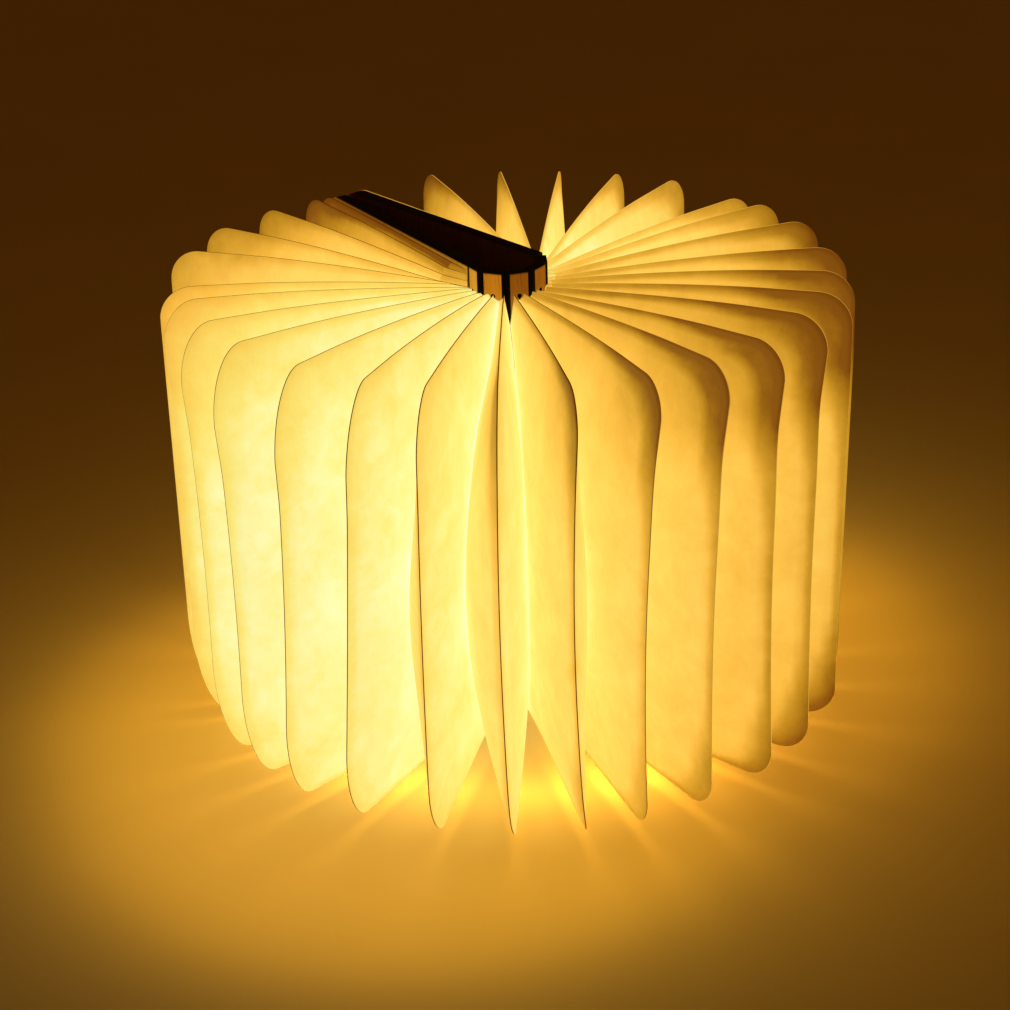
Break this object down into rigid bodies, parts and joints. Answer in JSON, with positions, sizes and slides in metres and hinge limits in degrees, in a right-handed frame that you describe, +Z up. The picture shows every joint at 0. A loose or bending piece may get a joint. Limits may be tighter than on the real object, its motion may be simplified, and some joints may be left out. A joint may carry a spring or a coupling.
{
  "type": "folding book lamp",
  "caption": "Book-shaped lamp standing fully opened: slotted wooden cover boards back to back, a light bar at the spine and paper leaves fanned all round.",
  "frame": {"origin": "on the surface the lamp stands on, under the middle of its bounding box when fully opened", "axes": "+Z up; +Y towards the two covers, which stand back to back; +X across, the right-hand cover's side; the leaves fan round -Y"},
  "size_m": [0.1736, 0.1688, 0.122],
  "materials": {
    "wood": "satin oiled face grain with laser-charred, near-black cut edges",
    "leaf_paper": "matte, translucent, coated fibre paper",
    "end_paper": "matte, glued flat on the cover",
    "magnet": "nickel plated",
    "bar_plastic": "matte white moulding",
    "lens": "milky diffuser",
    "steel": "bright, plated",
    "white_board": "white solder mask",
    "led": "phosphor resin in a white package",
    "battery_wrap": "foil pouch",
    "foam": "foam pad",
    "green_board": "green solder mask",
    "black_chip": "moulded package",
    "lead_wire": "insulated wire"
  },
  "bodies": {
    "light_bar": {"bar_housing": "bar_plastic", "bar_lens": "lens", "top_end_cap": "bar_plastic", "bottom_end_cap": "bar_plastic", "end_cap_screws": "steel", "led_board": "white_board", "leds": "led", "battery": "battery_wrap", "battery_pad": "foam", "control_board": "green_board", "charge_socket": "steel", "charge_chips": "black_chip", "magnet_sensor": "black_chip", "battery_leads": "lead_wire", "led_leads": "lead_wire"},
    "spine_slat_1": {"spine_slat_1": "wood"},
    "spine_slat_2": {"spine_slat_2": "wood"},
    "spine_slat_3": {"spine_slat_3": "wood"},
    "spine_slat_4": {"spine_slat_4": "wood"},
    "left_cover": {"left_cover": "wood", "left_end_paper": "end_paper", "left_cover_magnets": "magnet"},
    "right_cover": {"right_cover": "wood", "right_end_paper": "end_paper", "right_cover_magnets": "magnet", "switch_magnet": "magnet"},
    "leaf_01": {"paper_leaf_01": "leaf_paper"},
    "leaf_02": {"paper_leaf_02": "leaf_paper"},
    "leaf_03": {"paper_leaf_03": "leaf_paper"},
    "leaf_04": {"paper_leaf_04": "leaf_paper"},
    "leaf_05": {"paper_leaf_05": "leaf_paper"},
    "leaf_06": {"paper_leaf_06": "leaf_paper"},
    "leaf_07": {"paper_leaf_07": "leaf_paper"},
    "leaf_08": {"paper_leaf_08": "leaf_paper"},
    "leaf_09": {"paper_leaf_09": "leaf_paper"},
    "leaf_10": {"paper_leaf_10": "leaf_paper"},
    "leaf_11": {"paper_leaf_11": "leaf_paper"},
    "leaf_12": {"paper_leaf_12": "leaf_paper"},
    "leaf_13": {"paper_leaf_13": "leaf_paper"},
    "leaf_14": {"paper_leaf_14": "leaf_paper"},
    "leaf_15": {"paper_leaf_15": "leaf_paper"},
    "leaf_16": {"paper_leaf_16": "leaf_paper"},
    "leaf_17": {"paper_leaf_17": "leaf_paper"},
    "leaf_18": {"paper_leaf_18": "leaf_paper"},
    "leaf_19": {"paper_leaf_19": "leaf_paper"},
    "leaf_20": {"paper_leaf_20": "leaf_paper"},
    "leaf_21": {"paper_leaf_21": "leaf_paper"},
    "leaf_22": {"paper_leaf_22": "leaf_paper"},
    "leaf_23": {"paper_leaf_23": "leaf_paper"},
    "leaf_24": {"paper_leaf_24": "leaf_paper"},
    "leaf_25": {"paper_leaf_25": "leaf_paper"},
    "leaf_26": {"paper_leaf_26": "leaf_paper"},
    "leaf_27": {"paper_leaf_27": "leaf_paper"},
    "leaf_28": {"paper_leaf_28": "leaf_paper"},
    "leaf_29": {"paper_leaf_29": "leaf_paper"},
    "leaf_30": {"paper_leaf_30": "leaf_paper"}
  },
  "joints": [
    {"name": "right_spine_hinge_1", "type": "hinge", "parent": "light_bar", "child": "spine_slat_3", "pos_m": [0, -0.00699, 0.061], "axis": [0, 0, 1], "range_deg": [-36.97, 0]},
    {"name": "right_spine_hinge_2", "type": "hinge", "parent": "spine_slat_3", "child": "spine_slat_4", "pos_m": [0.00567, -0.00504, 0.061], "axis": [0, 0, 1], "range_deg": [-73.92, 0]},
    {"name": "right_cover_hinge", "type": "hinge", "parent": "spine_slat_4", "child": "right_cover", "pos_m": [0.00896, -0.00002, 0.061], "axis": [0, 0, 1], "range_deg": [-73.9, 0]},
    {"name": "left_spine_hinge_1", "type": "hinge", "parent": "light_bar", "child": "spine_slat_2", "pos_m": [0, -0.00699, 0.061], "axis": [0, 0, 1], "range_deg": [0, 36.97]},
    {"name": "left_spine_hinge_2", "type": "hinge", "parent": "spine_slat_2", "child": "spine_slat_1", "pos_m": [-0.00567, -0.00504, 0.061], "axis": [0, 0, 1], "range_deg": [0, 73.92]},
    {"name": "left_cover_hinge", "type": "hinge", "parent": "spine_slat_1", "child": "left_cover", "pos_m": [-0.00896, -0.00002, 0.061], "axis": [0, 0, 1], "range_deg": [0, 73.92]},
    {"name": "leaf_01_slide", "type": "slide", "parent": "left_cover", "child": "leaf_01", "axis": [-0.0801, -0.9968, 0], "range_m": [0, 0.01148]},
    {"name": "leaf_02_slide", "type": "slide", "parent": "left_cover", "child": "leaf_02", "axis": [0.0797, -0.9968, 0], "range_m": [0, 0.01384]},
    {"name": "leaf_03_turn", "type": "hinge", "parent": "left_cover", "child": "leaf_03", "pos_m": [-0.08066, 0.00152, 0.061], "axis": [0, 0, 1], "range_deg": [-11.77, 0]},
    {"name": "leaf_04_turn", "type": "hinge", "parent": "left_cover", "child": "leaf_04", "pos_m": [-0.04617, 0.00337, 0.061], "axis": [0, 0, 1], "range_deg": [-25.17, 0]},
    {"name": "leaf_05_turn", "type": "hinge", "parent": "left_cover", "child": "leaf_05", "pos_m": [-0.03038, 0.00457, 0.061], "axis": [0, 0, 1], "range_deg": [-40.27, 0]},
    {"name": "leaf_06_turn", "type": "hinge", "parent": "left_cover", "child": "leaf_06", "pos_m": [-0.02278, 0.00396, 0.061], "axis": [0, 0, 1], "range_deg": [-60.77, 0]},
    {"name": "leaf_07_turn", "type": "hinge", "parent": "left_cover", "child": "leaf_07", "pos_m": [-0.02022, 0.00252, 0.061], "axis": [0, 0, 1], "range_deg": [-67.77, 0]},
    {"name": "leaf_08_turn", "type": "hinge", "parent": "left_cover", "child": "leaf_08", "pos_m": [-0.01784, 0.00176, 0.061], "axis": [0, 0, 1], "range_deg": [-81.27, 0]},
    {"name": "leaf_09_turn", "type": "hinge", "parent": "left_cover", "child": "leaf_09", "pos_m": [-0.0162, 0.00061, 0.061], "axis": [0, 0, 1], "range_deg": [-93.37, 0]},
    {"name": "leaf_10_turn", "type": "hinge", "parent": "left_cover", "child": "leaf_10", "pos_m": [-0.01476, -0.00064, 0.061], "axis": [0, 0, 1], "range_deg": [-107.77, 0]},
    {"name": "leaf_11_turn", "type": "hinge", "parent": "left_cover", "child": "leaf_11", "pos_m": [-0.01333, -0.001, 0.061], "axis": [0, 0, 1], "range_deg": [-121.27, 0]},
    {"name": "leaf_12_turn", "type": "hinge", "parent": "spine_slat_1", "child": "leaf_12", "pos_m": [-0.01192, -0.00823, 0.061], "axis": [0, 0, 1], "range_deg": [-60.47, 0]},
    {"name": "leaf_13_turn", "type": "hinge", "parent": "spine_slat_2", "child": "leaf_13", "pos_m": [0.05323, 0.2001, 0.061], "axis": [0, 0, 1], "range_deg": [0, 1.47]},
    {"name": "leaf_14_turn", "type": "hinge", "parent": "spine_slat_2", "child": "leaf_14", "pos_m": [-0.00517, -0.02676, 0.061], "axis": [0, 0, 1], "range_deg": [-10.77, 0]},
    {"name": "leaf_15_turn", "type": "hinge", "parent": "spine_slat_2", "child": "leaf_15", "pos_m": [-0.00121, -0.01254, 0.061], "axis": [0, 0, 1], "range_deg": [-22.97, 0]},
    {"name": "leaf_16_turn", "type": "hinge", "parent": "light_bar", "child": "leaf_16", "pos_m": [-0.00346, 0.0157, 0.061], "axis": [0, 0, 1], "range_deg": [0, 1.82]},
    {"name": "leaf_17_turn", "type": "hinge", "parent": "light_bar", "child": "leaf_17", "pos_m": [0.00106, -0.00896, 0.061], "axis": [0, 0, 1], "range_deg": [-11.52, 0]},
    {"name": "leaf_18_turn", "type": "hinge", "parent": "spine_slat_3", "child": "leaf_18", "pos_m": [0.00097, -0.01714, 0.061], "axis": [0, 0, 1], "range_deg": [0, 12.47]},
    {"name": "leaf_19_turn", "type": "hinge", "parent": "spine_slat_4", "child": "leaf_19", "pos_m": [0.00777, -0.00742, 0.061], "axis": [0, 0, 1], "range_deg": [0, 73.67]},
    {"name": "leaf_20_turn", "type": "hinge", "parent": "right_cover", "child": "leaf_20", "pos_m": [0.01172, -0.00267, 0.061], "axis": [0, 0, 1], "range_deg": [0, 134.77]},
    {"name": "leaf_21_turn", "type": "hinge", "parent": "right_cover", "child": "leaf_21", "pos_m": [0.01285, -0.00237, 0.061], "axis": [0, 0, 1], "range_deg": [0, 123.37]},
    {"name": "leaf_22_turn", "type": "hinge", "parent": "right_cover", "child": "leaf_22", "pos_m": [0.01387, -0.00155, 0.061], "axis": [0, 0, 1], "range_deg": [0, 108.17]},
    {"name": "leaf_23_turn", "type": "hinge", "parent": "right_cover", "child": "leaf_23", "pos_m": [0.01488, -0.00079, 0.061], "axis": [0, 0, 1], "range_deg": [0, 96.77]},
    {"name": "leaf_24_turn", "type": "hinge", "parent": "right_cover", "child": "leaf_24", "pos_m": [0.01599, 0.00002, 0.061], "axis": [0, 0, 1], "range_deg": [0, 89.57]},
    {"name": "leaf_25_turn", "type": "hinge", "parent": "right_cover", "child": "leaf_25", "pos_m": [0.01813, 0.00123, 0.061], "axis": [0, 0, 1], "range_deg": [0, 73.27]},
    {"name": "leaf_26_turn", "type": "hinge", "parent": "right_cover", "child": "leaf_26", "pos_m": [0.02067, 0.00212, 0.061], "axis": [0, 0, 1], "range_deg": [0, 60.37]},
    {"name": "leaf_27_turn", "type": "hinge", "parent": "right_cover", "child": "leaf_27", "pos_m": [0.02456, 0.00324, 0.061], "axis": [0, 0, 1], "range_deg": [0, 48.57]},
    {"name": "leaf_28_turn", "type": "hinge", "parent": "right_cover", "child": "leaf_28", "pos_m": [0.03161, 0.00494, 0.061], "axis": [0, 0, 1], "range_deg": [0, 35.87]},
    {"name": "leaf_29_turn", "type": "hinge", "parent": "right_cover", "child": "leaf_29", "pos_m": [0.0518, 0.0046, 0.061], "axis": [0, 0, 1], "range_deg": [0, 20.97]},
    {"name": "leaf_30_slide", "type": "slide", "parent": "right_cover", "child": "leaf_30", "axis": [-0.0219, -0.9998, 0], "range_m": [0, 0.01284]}
  ],
  "couplings": [
    {"joint": "right_spine_hinge_1", "follows": "right_cover_hinge", "ratio": 0.5},
    {"joint": "right_spine_hinge_2", "follows": "right_cover_hinge", "ratio": 1},
    {"joint": "left_spine_hinge_1", "follows": "right_cover_hinge", "ratio": -0.5},
    {"joint": "left_spine_hinge_2", "follows": "right_cover_hinge", "ratio": -1},
    {"joint": "left_cover_hinge", "follows": "right_cover_hinge", "ratio": -1},
    {"joint": "leaf_01_slide", "follows": "right_cover_hinge", "m_per_rad": -0.0088956},
    {"joint": "leaf_02_slide", "follows": "right_cover_hinge", "m_per_rad": -0.010731},
    {"joint": "leaf_03_turn", "follows": "right_cover_hinge", "ratio": 0.159},
    {"joint": "leaf_04_turn", "follows": "right_cover_hinge", "ratio": 0.34032},
    {"joint": "leaf_05_turn", "follows": "right_cover_hinge", "ratio": 0.54465},
    {"joint": "leaf_06_turn", "follows": "right_cover_hinge", "ratio": 0.82206},
    {"joint": "leaf_07_turn", "follows": "right_cover_hinge", "ratio": 0.91678},
    {"joint": "leaf_08_turn", "follows": "right_cover_hinge", "ratio": 1.0995},
    {"joint": "leaf_09_turn", "follows": "right_cover_hinge", "ratio": 1.2632},
    {"joint": "leaf_10_turn", "follows": "right_cover_hinge", "ratio": 1.4581},
    {"joint": "leaf_11_turn", "follows": "right_cover_hinge", "ratio": 1.6407},
    {"joint": "leaf_12_turn", "follows": "right_cover_hinge", "ratio": 0.818},
    {"joint": "leaf_13_turn", "follows": "right_cover_hinge", "ratio": -0.019621},
    {"joint": "leaf_14_turn", "follows": "right_cover_hinge", "ratio": 0.14547},
    {"joint": "leaf_15_turn", "follows": "right_cover_hinge", "ratio": 0.31055},
    {"joint": "leaf_16_turn", "follows": "right_cover_hinge", "ratio": -0.024357},
    {"joint": "leaf_17_turn", "follows": "right_cover_hinge", "ratio": 0.15562},
    {"joint": "leaf_18_turn", "follows": "right_cover_hinge", "ratio": -0.16847},
    {"joint": "leaf_19_turn", "follows": "right_cover_hinge", "ratio": -0.99662},
    {"joint": "leaf_20_turn", "follows": "right_cover_hinge", "ratio": -1.8234},
    {"joint": "leaf_21_turn", "follows": "right_cover_hinge", "ratio": -1.6691},
    {"joint": "leaf_22_turn", "follows": "right_cover_hinge", "ratio": -1.4635},
    {"joint": "leaf_23_turn", "follows": "right_cover_hinge", "ratio": -1.3092},
    {"joint": "leaf_24_turn", "follows": "right_cover_hinge", "ratio": -1.2118},
    {"joint": "leaf_25_turn", "follows": "right_cover_hinge", "ratio": -0.9912},
    {"joint": "leaf_26_turn", "follows": "right_cover_hinge", "ratio": -0.81664},
    {"joint": "leaf_27_turn", "follows": "right_cover_hinge", "ratio": -0.65697},
    {"joint": "leaf_28_turn", "follows": "right_cover_hinge", "ratio": -0.48512},
    {"joint": "leaf_29_turn", "follows": "right_cover_hinge", "ratio": -0.28349},
    {"joint": "leaf_30_slide", "follows": "right_cover_hinge", "m_per_rad": -0.0099549}
  ]
}
